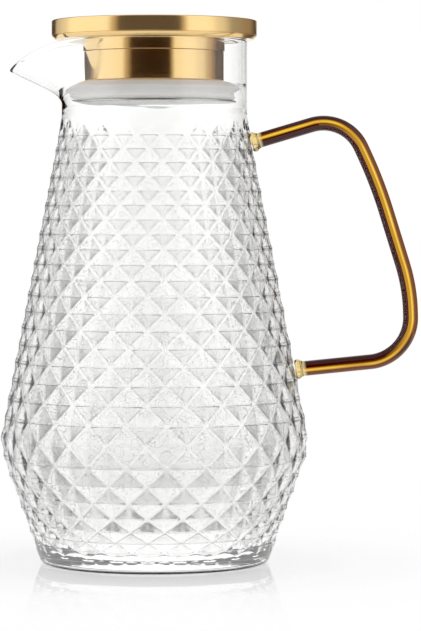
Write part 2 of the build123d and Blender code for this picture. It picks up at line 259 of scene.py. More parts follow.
# %% Table
bpy.ops.object.select_all(action="DESELECT")
bpy.ops.mesh.primitive_circle_add(vertices=96, radius=0.45, fill_type="NGON", location=(0, 0, -0.2 * mm))
table = bpy.context.object
table.name = "table_top"
table_paint = bpy.data.materials.new("white_table")
table_paint.use_nodes = True
tree = table_paint.node_tree
polished = tree.nodes["Principled BSDF"]
polished.inputs["Base Color"].default_value = (0.98, 0.98, 0.98, 1)
polished.inputs["Roughness"].default_value = 0.02
glow = tree.nodes.new("ShaderNodeEmission")
glow.inputs["Color"].default_value = (1, 1, 1, 1)
rays = tree.nodes.new("ShaderNodeLightPath")
blend = tree.nodes.new("ShaderNodeMixShader")
place = tree.nodes.new("ShaderNodeTexCoord").outputs["Object"]
length = tree.nodes.new("ShaderNodeVectorMath")
length.operation = "LENGTH"
tree.links.new(place, length.inputs[0])
plainness = add_ramp(tree, length.outputs["Value"], [(0.0, 0.45), (0.07, 0.45), (0.1, 0.6), (0.14, 0.86), (0.2, 0.98)])
through_glass = add_math(tree, "MULTIPLY", rays.outputs["Is Transmission Ray"], 0.92)
tree.links.new(add_math(tree, "MULTIPLY_ADD", rays.outputs["Is Camera Ray"], plainness, through_glass), blend.inputs["Fac"])
tree.links.new(polished.outputs[0], blend.inputs[1])
tree.links.new(glow.outputs[0], blend.inputs[2])
tree.links.new(blend.outputs[0], tree.nodes["Material Output"].inputs["Surface"])
table.data.materials.append(table_paint)
print("table", table.name)

# %% [markdown]
# Everything round on this pitcher is turned: glass is spun and steel is pressed over a form.
# So one helper makes every turned shape as by hand: add a circle, then extrude it and scale it
# from one ring to the next. An outline that starts or ends on the axis closes there in a point.

# %% A helper for turned shapes
on_axis = 0.01 * mm


def turn_rings(name, outline, segments):
    """A turned surface, ring by ring, from (radius, height) points; its last ring stays selected."""
    outline = [(max(radius, on_axis), height) for radius, height in outline]
    radius, height = outline[0]
    bpy.ops.object.select_all(action="DESELECT")
    bpy.ops.mesh.primitive_circle_add(vertices=segments, radius=radius, location=(0, 0, height))
    bpy.ops.object.transform_apply(location=True, rotation=False, scale=False)
    piece = bpy.context.object
    piece.name = name
    bpy.ops.object.mode_set(mode="EDIT")
    bpy.ops.mesh.select_all(action="SELECT")
    for next_radius, next_height in outline[1:]:
        rise = (0, 0, next_height - height)
        bpy.ops.mesh.extrude_region_move(TRANSFORM_OT_translate={"value": rise})
        growth = next_radius / radius
        bpy.ops.transform.resize(value=(growth, growth, 1), center_override=(0, 0, 0))
        radius, height = next_radius, next_height
    return piece


def merge_and_face_outwards(piece):
    """Closes poles and seams, and turns every face outwards. Ends in object mode."""
    bpy.ops.mesh.select_all(action="SELECT")
    bpy.ops.mesh.remove_doubles(threshold=2.5 * on_axis)
    bpy.ops.mesh.normals_make_consistent(inside=False)
    bpy.ops.object.mode_set(mode="OBJECT")
    print(piece.name, len(piece.data.vertices), "vertices")


def arc(center, radius, start, end, steps):
    """Points of an arc, angles in degrees from the radius axis towards up."""
    turns = [radians(start + (end - start) * step / steps) for step in range(steps + 1)]
    return [(center[0] + radius * cos(turn), center[1] + radius * sin(turn)) for turn in turns]


def rounded(corners, rounds, steps):
    """An outline of (radius, height) corners, each rounded by its own radius, 0 for sharp."""
    points = []
    last = len(corners) - 1
    for index, (corner, size) in enumerate(zip(corners, rounds)):
        here = Vector(corner)
        if size == 0 or index in (0, last):
            points.append(corner)
            continue
        back = (Vector(corners[index - 1]) - here).normalized()
        ahead = (Vector(corners[index + 1]) - here).normalized()
        half = back.angle(ahead) / 2
        center = here + (back + ahead).normalized() * size / sin(half)
        first = here + back * size / tan(half) - center
        turn = pi - 2 * half
        side = 1 if back.x * ahead.y - back.y * ahead.x < 0 else -1
        for step in range(steps + 1):
            swing = Matrix.Rotation(side * turn * step / steps, 2)
            points.append(tuple(center + swing @ first))
    return points


# %% [markdown]
# The glass is blown into a mould that presses rows of diamonds into its outside. The rows follow
# a rule: 24 diamonds round, and rows that grow taller from the neck down to the waist and shorter
# again below it. The grooves cross between the diamonds, and each crossing lies a little deeper.
# So the relief starts as plain rings, one for each row line, and then every second corner is
# pushed in: the corners are picked by counting, and one scale operator moves them all.

# %% Relief of the belly
outline_corners = [(5.4 * mm, 53.6 * mm), (48.6 * mm, 69.3 * mm), (57.2 * mm, 70.2 * mm)]
neck_line = 202.5 * mm
neck_radius = 42.0 * mm
outline_corners.append((neck_line, neck_radius))
heel_line, heel_line_radius = outline_corners[0]
waist_height = outline_corners[2][0]
diamonds_round = 24
upper_rows = 20
lower_rows = 8
upper_margin = 3.1 * mm
lower_margin = 0.9 * mm
depth_share = 0.07


def ridge_radius(height):
    """Outside radius of the glass over the ridges."""
    for (low, low_radius), (high, high_radius) in zip(outline_corners, outline_corners[1:]):
        if height <= high:
            break
    return low_radius + (high_radius - low_radius) * (height - low) / (high - low)


def row_heights():
    """Heights of the row lines, from the lowest up."""
    low, high = heel_line + lower_margin, neck_line - upper_margin
    upper = [1 + 0.54 * (row / upper_rows) ** 2 for row in range(upper_rows)]
    lower = [1 - 0.7 * row / lower_rows for row in range(lower_rows)]
    heights = [high]
    for step in upper:
        heights.append(heights[-1] - step * (high - waist_height) / sum(upper))
    for step in lower:
        heights.append(heights[-1] - step * (waist_height - low) / sum(lower))
    return heights[::-1]


rows = row_heights()
relief = turn_rings("relief", [(ridge_radius(height), height) for height in rows], 2 * diamonds_round)
cage = bmesh.from_edit_mesh(relief.data)
top_row = len(rows) - 1


def place_of(vertex):
    """Row and half column of a corner of the relief."""
    row = min(range(len(rows)), key=lambda index: abs(rows[index] - vertex.co.z))
    half_column = round(atan2(vertex.co.y, vertex.co.x) / (pi / diamonds_round))
    return row, half_column


for vertex in cage.verts:
    row, half_column = place_of(vertex)
    crossing = (top_row - row + half_column) % 2 == 0
    vertex.select = crossing and 0 < row < top_row
cage.select_flush_mode()
bmesh.update_edit_mesh(relief.data)
push = 1 - depth_share * 2 * pi / diamonds_round
bpy.ops.transform.resize(value=(push, push, 1), center_override=(0, 0, 0))
bpy.ops.mesh.select_all(action="SELECT")
bpy.ops.mesh.quads_convert_to_tris(quad_method="SHORTEST_DIAGONAL")
bpy.ops.object.mode_set(mode="OBJECT")
print("relief", len(relief.data.polygons), "facets")

# %% [markdown]
# The plain parts of the glass are turned: the heel with the ring that the pitcher stands on, and
# one long outline that runs up the neck, over the melted rim and down the inside to the floor.
# The wall is about 2 mm at the neck and 3 mm in the belly, as the photograph shows at the edges.

# %% Plain parts of the glass
segments = 192
neck_bore = 40.0 * mm
floor_height = 5.6 * mm
slope = (69.3 - 53.6) / (48.6 - 5.4)
foot_corner = heel_line_radius - slope * heel_line
ring_radius = 39.4 * mm
punt_rise = 2.6 * mm
foot_outline = [
    (0, punt_rise), (0.25 * ring_radius, 0.94 * punt_rise), (0.5 * ring_radius, 0.75 * punt_rise),
    (0.75 * ring_radius, 0.44 * punt_rise), (0.92 * ring_radius, 0.16 * punt_rise),
    (ring_radius, 0), (0.5 * (ring_radius + foot_corner), 0),
]
foot_outline += rounded(
    [(ring_radius, 0), (foot_corner, 0), (heel_line_radius, heel_line)], [0, 3.7 * mm, 0], 8
)[1:]
heel = turn_rings("heel", foot_outline, segments)
bpy.ops.object.mode_set(mode="OBJECT")

belt_inside = 66.3 * mm
inside_corners = [
    (neck_bore, rim_height - 20 * mm), (neck_bore, neck_line), (67.2 * mm, waist_height),
    (belt_inside, 48.6 * mm), (belt_inside - slope * (48.6 * mm - floor_height), floor_height),
    (0, floor_height),
]
inside_rounds = [0, 40 * mm, 16 * mm, 16 * mm, 9 * mm, 0]
inside_outline = rounded(inside_corners, inside_rounds, 8)
rim_round = 0.8 * mm
rim_outline = [(neck_radius, neck_line)]
neck_rings = 30
for ring in range(1, neck_rings + 1):
    rim_outline.append((neck_radius, neck_line + (rim_height - rim_round - neck_line) * ring / neck_rings))
rim_outline += arc((neck_radius - rim_round, rim_height - rim_round), rim_round, 0, 90, 5)[1:]
rim_outline += arc((neck_bore + rim_round, rim_height - rim_round), rim_round, 90, 180, 5)
bore_rings = 20
for ring in range(1, bore_rings):
    rim_outline.append((neck_bore, rim_height - rim_round - ring * (20 * mm - rim_round) / bore_rings))
neck = turn_rings("neck", rim_outline + inside_outline, segments)
bpy.ops.object.mode_set(mode="OBJECT")
print("neck and inside", len(neck.data.polygons), "faces")

# %% [markdown]
# The spout is pulled out of the hot rim with a tool, so here too it is pulled out of the turned
# neck. A leaning cone gives its shape. Every point of the neck keeps its place round the axis and
# its share of the wall, and moves out to the cone where the cone is wider than the neck. The rim
# dips in an arc towards the tip. No single operator does that, so the points are moved by formula.

# %% Pull the spout
cone_height = rim_height - 4.5 * mm
cone_slope = atan2(25.5 - 13.6, 24.0)
cone_point = 66.0 * mm + (13.6 - 4.5) * mm / tan(cone_slope)
spout_wall = 2.0 * mm
seam_blend = 7.0 * mm
pull_start = 203.5 * mm
dip_start = 30.0 * mm
dip_radius = (36.0 ** 2 + 13.6 ** 2) / (2 * 13.6) * mm


def cone_radius(turn, height, point):
    """Distance from the neck's axis to the cone, in the direction turn from the spout."""
    widen = tan(cone_slope) ** 2
    side = widen * point ** 2 - (height - cone_height) ** 2
    if side <= 0 or cos(turn) <= 0:
        return 0
    root = (widen * point * cos(turn)) ** 2 + (sin(turn) ** 2 - widen * cos(turn) ** 2) * side
    if root < 0:
        return 0
    return side / (widen * point * cos(turn) + sqrt(root))


def blended(plain, pulled, blend):
    """The larger of two radii, run into each other over a length."""
    near = max(blend - abs(plain - pulled), 0) / blend
    return max(plain, pulled) + near * near * blend / 4


def beside_spout(turn):
    """1 in the spout, and falling smoothly to 0 where the neck is plain again."""
    share = min(max((cos(turn) - 0.45) / 0.35, 0), 1)
    return share * share * (3 - 2 * share)


def wall_radius(turn, height, inner):
    """Radius of the outer or the inner side of the neck, spout included."""
    shift = spout_wall / sin(cone_slope) if inner else 0
    plain = neck_bore if inner else neck_radius
    pulled = blended(plain, cone_radius(turn, height, cone_point - shift), seam_blend)
    return plain + (pulled - plain) * beside_spout(turn)


def mouth_height(reach):
    """Height of the rim over a point this far from the axis towards the spout."""
    run = min(max(reach - dip_start, 0), dip_radius)
    return rim_height - dip_radius + sqrt(dip_radius ** 2 - run ** 2)


def mouth_on_wall(turn, inner):
    """Height where a side of the wall meets the dipping rim."""
    low, high = pull_start, rim_height
    for _ in range(30):
        middle = (low + high) / 2
        if middle > mouth_height(wall_radius(turn, middle, inner) * cos(turn)):
            high = middle
        else:
            low = middle
    return (low + high) / 2


mouths = {}
for vertex in neck.data.vertices:
    radius = hypot(vertex.co.x, vertex.co.y)
    if vertex.co.z <= pull_start or radius < neck_bore - on_axis:
        continue
    turn = atan2(vertex.co.y, -vertex.co.x)
    share = (vertex.co.z - pull_start) / (rim_height - pull_start)
    crowd = 0.5 * min(1, 4 * share)
    turn -= crowd * sin(turn)
    key = round(turn, 5)
    if key not in mouths:
        mouths[key] = (mouth_on_wall(turn, False), mouth_on_wall(turn, True))
    ends = []
    for inner, mouth in enumerate(mouths[key]):
        height = pull_start + share * (mouth - pull_start)
        ends.append((wall_radius(turn, height, inner), height))
    depth = (neck_radius - radius) / (neck_radius - neck_bore)
    pulled = ends[0][0] + (ends[1][0] - ends[0][0]) * depth
    height = ends[0][1] + (ends[1][1] - ends[0][1]) * depth
    vertex.co = (-pulled * cos(turn), pulled * sin(turn), height)
print("spout tip", min(vertex.co.x for vertex in neck.data.vertices))

# %% [markdown]
# The three parts become one closed glass: they are joined, and the gaps between the relief's end
# rings and the plain rings are bridged. The grooves and ridges of pressed glass are never sharp,
# so each relief edge gets a bevel weight, wide in the grooves and narrow on the ridges, and a
# Bevel modifier rounds them by it.

# %% Join the glass and round the relief
bpy.ops.object.select_all(action="DESELECT")
for piece in (relief, heel, neck):
    piece.select_set(True)
bpy.context.view_layer.objects.active = relief
bpy.ops.object.join()
pitcher = bpy.context.object
pitcher.name = "pitcher_glass"
bpy.ops.object.mode_set(mode="EDIT")
bpy.ops.mesh.select_mode(type="EDGE")


def bridge_at(heights):
    """Bridges the two open rings that lie at these heights."""
    cage = bmesh.from_edit_mesh(pitcher.data)
    for edge in cage.edges:
        flat = [min(abs(vertex.co.z - height) for height in heights) < 0.01 * mm for vertex in edge.verts]
        edge.select = edge.is_boundary and all(flat)
    bmesh.update_edit_mesh(pitcher.data)
    bpy.ops.mesh.bridge_edge_loops()


bridge_at((rows[0], heel_line))
bridge_at((rows[-1], neck_line))
merge_and_face_outwards(pitcher)

groove_width = 1.25 * mm
row_line_share = 0.5


def row_height(row):
    """Height of the row over this row line."""
    row = min(max(row, 0), top_row - 1)
    return rows[row + 1] - rows[row]


def groove_share(height):
    """Grooves get narrower where the rows are low: a share of the full width."""
    row = min(range(top_row), key=lambda index: abs(rows[index] + row_height(index) / 2 - height))
    return min(1, row_height(row) / (6.0 * mm))


weights = pitcher.data.attributes.new("bevel_weight_edge", "FLOAT", "EDGE")
for edge in pitcher.data.edges:
    ends = [pitcher.data.vertices[index] for index in edge.vertices]
    places = [place_of(end) for end in ends]
    on_rows = all(abs(rows[row] - end.co.z) < 0.01 * mm for (row, _), end in zip(places, ends))
    outside = all(hypot(end.co.x, end.co.y) > ridge_radius(end.co.z) * 0.975 for end in ends)
    if not (on_rows and outside) or all(row in (0, top_row) for row, _ in places):
        continue
    row_line = places[0][0] == places[1][0]
    share = groove_share((ends[0].co.z + ends[1].co.z) / 2)
    weights.data[edge.index].value = row_line_share * share if row_line else share
rounding = pitcher.modifiers.new("rounding", "BEVEL")
rounding.limit_method = "WEIGHT"
rounding.width = groove_width
rounding.segments = 5
rounding.profile = 0.5
bpy.ops.object.modifier_apply(modifier=rounding.name)

# %% [markdown]
# A pressed groove is a small channel with steep sides, and these sides draw the thin dark lines
# round each diamond, helped by painted shade that the glass material puts on them. The corners
# near a groove's middle are pushed in for it. A row line is a fine bead where the mould's rings
# met, so the corners on it are pushed out.

# %% Channels and beads
from math import floor


def from_groove(vertex):
    """Distance from the middle of the nearest groove."""
    row = max(index for index in range(top_row) if rows[index] <= vertex.co.z or index == 0)
    up = top_row - row - (vertex.co.z - rows[row]) / row_height(row)
    turn = atan2(vertex.co.y, vertex.co.x) / (pi / diamonds_round)
    across = [(turn + up) / 2, (turn - up) / 2]
    share = min(abs(value - floor(value + 0.5)) for value in across)
    half_width = ridge_radius(vertex.co.z) * pi / diamonds_round
    half_height = row_height(row)
    return 2 * share * half_width * half_height / hypot(half_width, half_height)


channel_depth = 0.23 * mm
bead_height = 0.17 * mm
pushed_in = pushed_out = 0
for vertex in pitcher.data.vertices:
    radius = hypot(vertex.co.x, vertex.co.y)
    if not rows[0] + 0.05 * mm < vertex.co.z < rows[-1] - 0.05 * mm:
        continue
    if radius < ridge_radius(vertex.co.z) * 0.97:
        continue
    row, _ = place_of(vertex)
    if from_groove(vertex) < 0.75 * groove_width * groove_share(vertex.co.z):
        push = -channel_depth * groove_share(vertex.co.z)
        pushed_in += 1
    elif abs(vertex.co.z - rows[row]) < 0.2 * mm and radius < 69.3 * mm:
        push = bead_height
        pushed_out += 1
    else:
        continue
    vertex.co.x *= 1 + push / radius
    vertex.co.y *= 1 + push / radius
print("corners pushed in and out", pushed_in, pushed_out)
bpy.ops.object.shade_smooth_by_angle(angle=radians(30))
flat_facets = pitcher.modifiers.new("flat_facets", "WEIGHTED_NORMAL")
flat_facets.keep_sharp = True
flat_facets.weight = 100
bpy.ops.object.modifier_apply(modifier=flat_facets.name)
open_edges = bmesh.new()
open_edges.from_mesh(pitcher.data)
print("glass", sum(len(face.vertices) - 2 for face in pitcher.data.polygons), "triangles, open edges",
      sum(edge.is_boundary or not edge.is_manifold for edge in open_edges.edges),
      "volume in mm3", round(open_edges.calc_volume() * 1e9))
open_edges.free()
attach(pitcher, "jug")
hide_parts("glass_body")

# %% [markdown]
# Clear glass has next to no colour of its own. It is a smooth surface that lets light through and
# bends it, with an index of refraction of about 1.5.

# %% Clear glass
def new_material(name):
    """A material with its node tree and its Principled shader."""
    material = bpy.data.materials.new(name)
    material.use_nodes = True
    return material, material.node_tree, material.node_tree.nodes["Principled BSDF"]


clear_glass, tree, shader = new_material("pressed_clear_glass")
shader.inputs["Base Color"].default_value = (0.97, 0.975, 0.97, 1)
shader.inputs["Roughness"].default_value = 0.0
shader.inputs["IOR"].default_value = 1.52
shader.inputs["Transmission Weight"].default_value = 1.0
pitcher.data.materials.clear()
pitcher.data.materials.append(clear_glass)

# %% [markdown]
# The handle is a rod of amber glass, softened in a flame and bent. The model does the same: a
# circle is drawn, pulled out straight, and spun about the centre of each bend. The corners are
# the same shares of the handle's height and reach as in the CAD model.

# %% Handle
rod_radius = 3.4 * mm
handle_low_height = 87.8 * mm
handle_span = 102.9 * mm
handle_reach = 116.6 * mm
height_shares = (1.12, 0.828, 0.361, 0.052)
reach_shares = (0.598, 0.787, 0.988, 1)
bend_shares = (0.485, 0.418, 0.349, 0.586)
rod_setback = 0.6 * mm


def rod_corners():
    """Corners of the rod's centreline, from the upper end to the lower."""
    ends = [
        Vector((ridge_radius(height) + rod_setback, 0, height))
        for height in (handle_low_height + handle_span, handle_low_height)
    ]
    between = [
        Vector((neck_radius + reach * (handle_reach - neck_radius), 0, handle_low_height + rise * handle_span))
        for reach, rise in zip(reach_shares, height_shares)
    ]
    return [ends[0], *between, ends[1]]


corners = rod_corners()
first_run = (corners[1] - corners[0]).normalized()
bpy.ops.object.select_all(action="DESELECT")
bpy.ops.mesh.primitive_circle_add(
    vertices=72, radius=rod_radius, fill_type="NGON", location=corners[0],
    rotation=(0, atan2(first_run.x, first_run.z), 0),
)
handle = bpy.context.object
handle.name = "handle_rod"
bpy.ops.object.transform_apply(location=True, rotation=True, scale=False)
bpy.ops.object.mode_set(mode="EDIT")
bpy.ops.mesh.select_all(action="SELECT")
here = corners[0]
for before, corner, after, share in zip(corners, corners[1:], corners[2:], bend_shares):
    run_in, run_out = corner - before, after - corner
    turn = run_in.angle(run_out)
    reach = share * min(run_in.length, run_out.length)
    bend = reach / tan(turn / 2)
    start = corner - run_in.normalized() * reach
    side = (run_out.normalized() - run_in.normalized()).normalized()
    center = corner + side * bend / cos(turn / 2)
    way = 1 if run_in.cross(run_out).y > 0 else -1
    for _ in range(4):
        bpy.ops.mesh.extrude_region_move(TRANSFORM_OT_translate={"value": (start - here) / 4})
    steps = max(8, round(degrees(turn) / 2.5))
    bpy.ops.mesh.spin(steps=steps, angle=-way * turn, center=center, axis=(0, 1, 0))
    here = corner + run_out.normalized() * reach
for _ in range(4):
    bpy.ops.mesh.extrude_region_move(TRANSFORM_OT_translate={"value": (corners[-1] - here) / 4})
merge_and_face_outwards(handle)
bpy.ops.object.shade_smooth_by_angle(angle=radians(40))
print("handle box", [round(value * 1000, 1) for value in (*handle.bound_box[0], *handle.bound_box[6])])
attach(handle, "jug")
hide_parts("handle")

# %% [markdown]
# Where the rod touches the body, the maker melts a small gather of clear glass round its end. The
# gather is turned about the rod: a flat foot sunk a little into the body's wall, a bulge, and a
# lip that thins out along the rod. It is turned on the upright axis, and then laid along the rod.

# %% Gathers at the ends of the handle
weld_outline = [(0, -1.1), (3.9, -1.1), (4.4, -0.5), (4.6, 0.2), (4.4, 0.9), (4.0, 1.5), (3.7, 2.0), (3.5, 2.4), (3.42, 2.6)]


def gather(name, end, corner):
    """A melted collar round one end of the rod, closed inside the rod."""
    outline = [(radius * mm, height * mm) for radius, height in weld_outline]
    outline.append((0, outline[-1][1]))
    piece = turn_rings(name, outline, 64)
    merge_and_face_outwards(piece)
    run = corner - end
    bpy.ops.object.select_all(action="DESELECT")
    piece.select_set(True)
    piece.location = end
    piece.rotation_euler = (0, atan2(run.x, run.z), 0)
    bpy.ops.object.transform_apply(location=True, rotation=True, scale=False)
    bpy.ops.object.shade_smooth_by_angle(angle=radians(60))
    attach(piece, "jug")
    return piece


upper_weld = gather("upper_gather", corners[0], corners[1])
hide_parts("handle_upper_weld")
lower_weld = gather("lower_gather", corners[-1], corners[-2])
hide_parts("handle_lower_weld")

# %% [markdown]
# The lid is made of pressed and turned steel with a gold colour: a pan, the plate that closes it,
# a collar and a drum. Each is a closed outline turned round the axis. Their corners are rounded a
# little, as on real sheet, so that every seam between two pieces shows as a fine line.

# %% Steel pieces of the lid
sheet = 0.8 * mm
disc_chamfer = 1.8 * mm
seam = disc_low + disc_chamfer
edge = 0.15 * mm
plate_inside = disc_radius - sheet


def turned_piece(name, outline, node, body="lid", smooth=35):
    """Turns a closed outline, and puts the piece in place of its CAD node."""
    on_the_axis = outline[0][0] == 0
    piece = turn_rings(name, outline if on_the_axis else [*outline, outline[0]], 192)
    merge_and_face_outwards(piece)
    bpy.ops.object.shade_smooth_by_angle(angle=radians(smooth))
    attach(piece, body)
    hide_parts(node)
    return piece


pan = turned_piece("lid_pan", rounded(
    [(0, disc_top - sheet), (plate_inside, disc_top - sheet), (plate_inside, seam + edge / 2),
     (disc_radius, seam + edge / 2), (disc_radius, disc_top), (0, disc_top)],
    [0, 0.3 * mm, 0, edge, 0.6 * mm, 0], 4), "lid_top_shell")
hole = 6.1 * mm
closing_plate = turned_piece("lid_closing_plate", rounded(
    [(hole, disc_low + sheet), (hole, disc_low), (disc_radius - disc_chamfer, disc_low),
     (disc_radius, seam), (plate_inside, seam), (plate_inside, seam + disc_chamfer),
     (plate_inside - sheet, seam + disc_chamfer), (plate_inside - sheet, seam),
     (plate_inside - disc_chamfer, disc_low + sheet)],
    [0, 0, 0.5 * mm, edge, 0, 0, 0, 0, 0], 4), "lid_under_plate")
collar_radius = collar_high.x
drum_radius = drum_high.x
collar_bore = drum_radius - sheet
collar = turned_piece("lid_collar_ring", rounded(
    [(collar_bore, collar_high.z), (collar_bore, collar_low.z + edge / 2),
     (collar_radius, collar_low.z + edge / 2), (collar_radius, collar_high.z)],
    [0, 0, edge, 0], 4), "lid_collar")
drum_lip = 2.6 * mm
drum = turned_piece("lid_drum_sleeve", rounded(
    [(collar_bore - drum_lip, drum_low.z + sheet), (collar_bore - drum_lip, drum_low.z),
     (drum_radius, drum_low.z), (drum_radius, drum_high.z - edge / 2),
     (collar_bore, drum_high.z - edge / 2), (collar_bore, drum_low.z + sheet)],
    [0, 0, 0.4 * mm, edge, 0, 0], 4), "lid_drum")

# %% [markdown]
# Under the drum sits a silicone ring. Its top swells out to a thin lip that wipes the neck, and
# a skirt hangs below it, with a shallow groove round it. A thin steel plate holds it from below.

# %% Seal and base plate
seal_bore = 28.2 * mm
lip = seal_high.x
seal_top = seal_high.z
skirt = lip - 3.9 * mm
swell = 0.8 * mm
seal_outline = [(seal_bore, seal_low.z), (seal_bore, seal_top), (drum_radius, seal_top)]
for step in range(1, 13):
    along = step / 12
    seal_outline.append((
        drum_radius + (lip - drum_radius) * along,
        seal_top - 2.6 * mm * along + swell * 4 * along * (1 - along),
    ))
seal_outline += [
    (lip, seal_top - 3.0 * mm), (lip - 0.5 * mm, seal_top - 3.5 * mm), (skirt + 0.9 * mm, seal_top - 4.6 * mm),
    (skirt, seal_top - 5.2 * mm), (skirt, seal_top - 5.7 * mm), (skirt - 0.35 * mm, seal_top - 6.0 * mm),
    (skirt - 0.35 * mm, seal_top - 6.3 * mm), (skirt, seal_top - 6.6 * mm), (skirt, seal_low.z + 1.2 * mm),
    (skirt - 0.5 * mm, seal_low.z + 0.45 * mm), (skirt - 1.4 * mm, seal_low.z),
]
seal = turned_piece("silicone_seal", seal_outline, "seal_ring", body="seal", smooth=50)
plate_radius = plate_high.x
screw_hole = 4.8 * mm
plate = turned_piece("lid_base_plate", rounded(
    [(screw_hole, plate_high.z), (screw_hole, plate_low.z), (plate_radius, plate_low.z), (plate_radius, plate_high.z)],
    [0, 0, 0.2 * mm, 0.2 * mm], 3), "base_plate")

# %% [markdown]
# Two effects are used by more than one material, so each is a node group. Spun grain is the fine
# rings that a brush leaves on turning steel: noise that only depends on the distance from the
# axis and on the height. Glass waves are the slow swells of hand-worked glass.

# %% Node groups
def new_group(name, inputs, outputs):
    """A shader node group with named number inputs and outputs."""
    group = bpy.data.node_groups.new(name, "ShaderNodeTree")
    for label, value in inputs:
        socket = group.interface.new_socket(label, in_out="INPUT", socket_type="NodeSocketFloat")
        socket.default_value = value
    for label in outputs:
        group.interface.new_socket(label, in_out="OUTPUT", socket_type="NodeSocketFloat")
    return group, group.nodes.new("NodeGroupInput"), group.nodes.new("NodeGroupOutput")


def add_noise(tree, vector, scale, detail=2.0):
    """A noise texture that reads a vector socket; gives back its value output."""
    node = tree.nodes.new("ShaderNodeTexNoise")
    node.inputs["Detail"].default_value = detail
    if isinstance(scale, (int, float)):
        node.inputs["Scale"].default_value = scale
    else:
        tree.links.new(scale, node.inputs["Scale"])
    tree.links.new(vector, node.inputs["Vector"])
    return node.outputs["Fac"]


spun, spun_in, spun_out = new_group("spun_grain", [("Rings", 2500), ("Smear", 3)], ["Height", "Streak"])
place = spun.nodes.new("ShaderNodeTexCoord").outputs["Object"]
apart = spun.nodes.new("ShaderNodeSeparateXYZ")
spun.links.new(place, apart.inputs[0])
from_axis = add_math(spun, "SQRT", add_math(
    spun, "ADD", add_math(spun, "MULTIPLY", apart.outputs["X"], apart.outputs["X"]),
    add_math(spun, "MULTIPLY", apart.outputs["Y"], apart.outputs["Y"])))
ring_place = spun.nodes.new("ShaderNodeCombineXYZ")
spun.links.new(add_math(spun, "MULTIPLY", from_axis, spun_in.outputs["Rings"]), ring_place.inputs["X"])
spun.links.new(add_math(spun, "MULTIPLY", apart.outputs["Z"], spun_in.outputs["Rings"]), ring_place.inputs["Y"])
turn_place = add_math(spun, "ARCTAN2", apart.outputs["Y"], apart.outputs["X"])
spun.links.new(add_math(spun, "MULTIPLY", turn_place, spun_in.outputs["Smear"]), ring_place.inputs["Z"])
grain = add_noise(spun, ring_place.outputs[0], 1.0, 3.0)
spun.links.new(grain, spun_out.inputs["Height"])
spun.links.new(add_noise(spun, ring_place.outputs[0], 0.13, 1.0), spun_out.inputs["Streak"])

waves, waves_in, waves_out = new_group("glass_waves", [("Scale", 40)], ["Height", "Shade"])
place = waves.nodes.new("ShaderNodeTexCoord").outputs["Object"]
waves.links.new(add_noise(waves, place, waves_in.outputs["Scale"], 1.0), waves_out.inputs["Height"])
waves.links.new(add_noise(waves, place, 25.0, 0.0), waves_out.inputs["Shade"])


def add_group(tree, group, values):
    """Places a node group in a material, with its own values."""
    node = tree.nodes.new("ShaderNodeGroup")
    node.node_tree = group
    for label, value in values.items():
        node.inputs[label].default_value = value
    return node


def add_bump(tree, shader, height, distance, strength=1.0):
    """Sends a height through a Bump node to the shader's normal."""
    bump = tree.nodes.new("ShaderNodeBump")
    bump.inputs["Distance"].default_value = distance
    bump.inputs["Strength"].default_value = strength
    tree.links.new(height, bump.inputs["Height"])
    tree.links.new(bump.outputs[0], shader.inputs["Normal"])


# %% [markdown]
# Clear glass is in the body. The gathers are the same glass with a breath of amber from the rod.
# Both have slow waves, which make the reflections swim as they do on hand-worked glass.

# %% Clear glass and gathers
def glass_finish(material, colour, ior, wave_size, wave_height):
    """Clear or tinted glass with slow waves; colour is two ends of a faint variation."""
    material, tree, shader = material
    group = add_group(tree, waves, {"Scale": wave_size})
    tint = add_mix(tree, group.outputs["Shade"], *colour)
    tree.links.new(tint, shader.inputs["Base Color"])
    shader.inputs["Roughness"].default_value = 0.0
    shader.inputs["IOR"].default_value = ior
    shader.inputs["Transmission Weight"].default_value = 1.0
    add_bump(tree, shader, group.outputs["Height"], wave_height)
    return tint


tint = glass_finish((clear_glass, tree, shader), ((0.985, 0.99, 0.985), (0.995, 0.995, 0.99)), 1.52, 40, 0.15 * mm)
weld_glass = new_material("melted_clear_glass")
glass_finish(weld_glass, ((0.97, 0.90, 0.66), (0.99, 0.96, 0.86)), 1.47, 260, 0.2 * mm)
for piece in (upper_weld, lower_weld):
    piece.data.materials.append(weld_glass[0])

# %% [markdown]
# In the belly two things differ from plain glass. The inside was never polished, so it is a
# little rough and softens what is seen through both walls. And the lower facet of each diamond
# faces down, away from the light, so a painted grey shade is put into the glass colour there,
# with a painted dark line under the bead. The steep sides of the channels, the ripples and a
# belt at and below the waist get painted shade too, and so do the upper facets of the lowest rows.
# A mask on the distance from the axis tells the inside from the outside, and the normal's
# height, less the slope of the belly there, tells lower facets from upper ones.

# %% Inside and painted facet shade of the belly
coords = tree.nodes.new("ShaderNodeTexCoord")
place = tree.nodes.new("ShaderNodeSeparateXYZ")
tree.links.new(coords.outputs["Object"], place.inputs[0])
normal = tree.nodes.new("ShaderNodeSeparateXYZ")
tree.links.new(coords.outputs["Normal"], normal.inputs[0])
from_axis = add_math(tree, "SQRT", add_math(
    tree, "ADD", add_math(tree, "MULTIPLY", place.outputs["X"], place.outputs["X"]),
    add_math(tree, "MULTIPLY", place.outputs["Y"], place.outputs["Y"])))


def height_ramp(stops, interpolation="LINEAR"):
    """A value over the height of the glass, its stops given in millimetres."""
    share = add_math(tree, "DIVIDE", place.outputs["Z"], rim_height)
    return add_ramp(tree, share, [(height * mm / rim_height, value) for height, value in stops], interpolation)


wall_middle = height_ramp([(5.4, 0.0515 * 10), (48.6, 0.0677 * 10), (57.2, 0.0686 * 10), (202.5, 0.0408 * 10)])
inner_side = add_math(tree, "LESS_THAN", add_math(tree, "MULTIPLY", from_axis, 10), wall_middle)
in_belly = height_ramp([(6, 0.0), (9, 1.0), (190, 1.0), (198, 0.0)])
belly_inside = add_math(tree, "MULTIPLY", inner_side, in_belly)
tree.links.new(add_math(tree, "MULTIPLY", belly_inside, 0.17), shader.inputs["Roughness"])

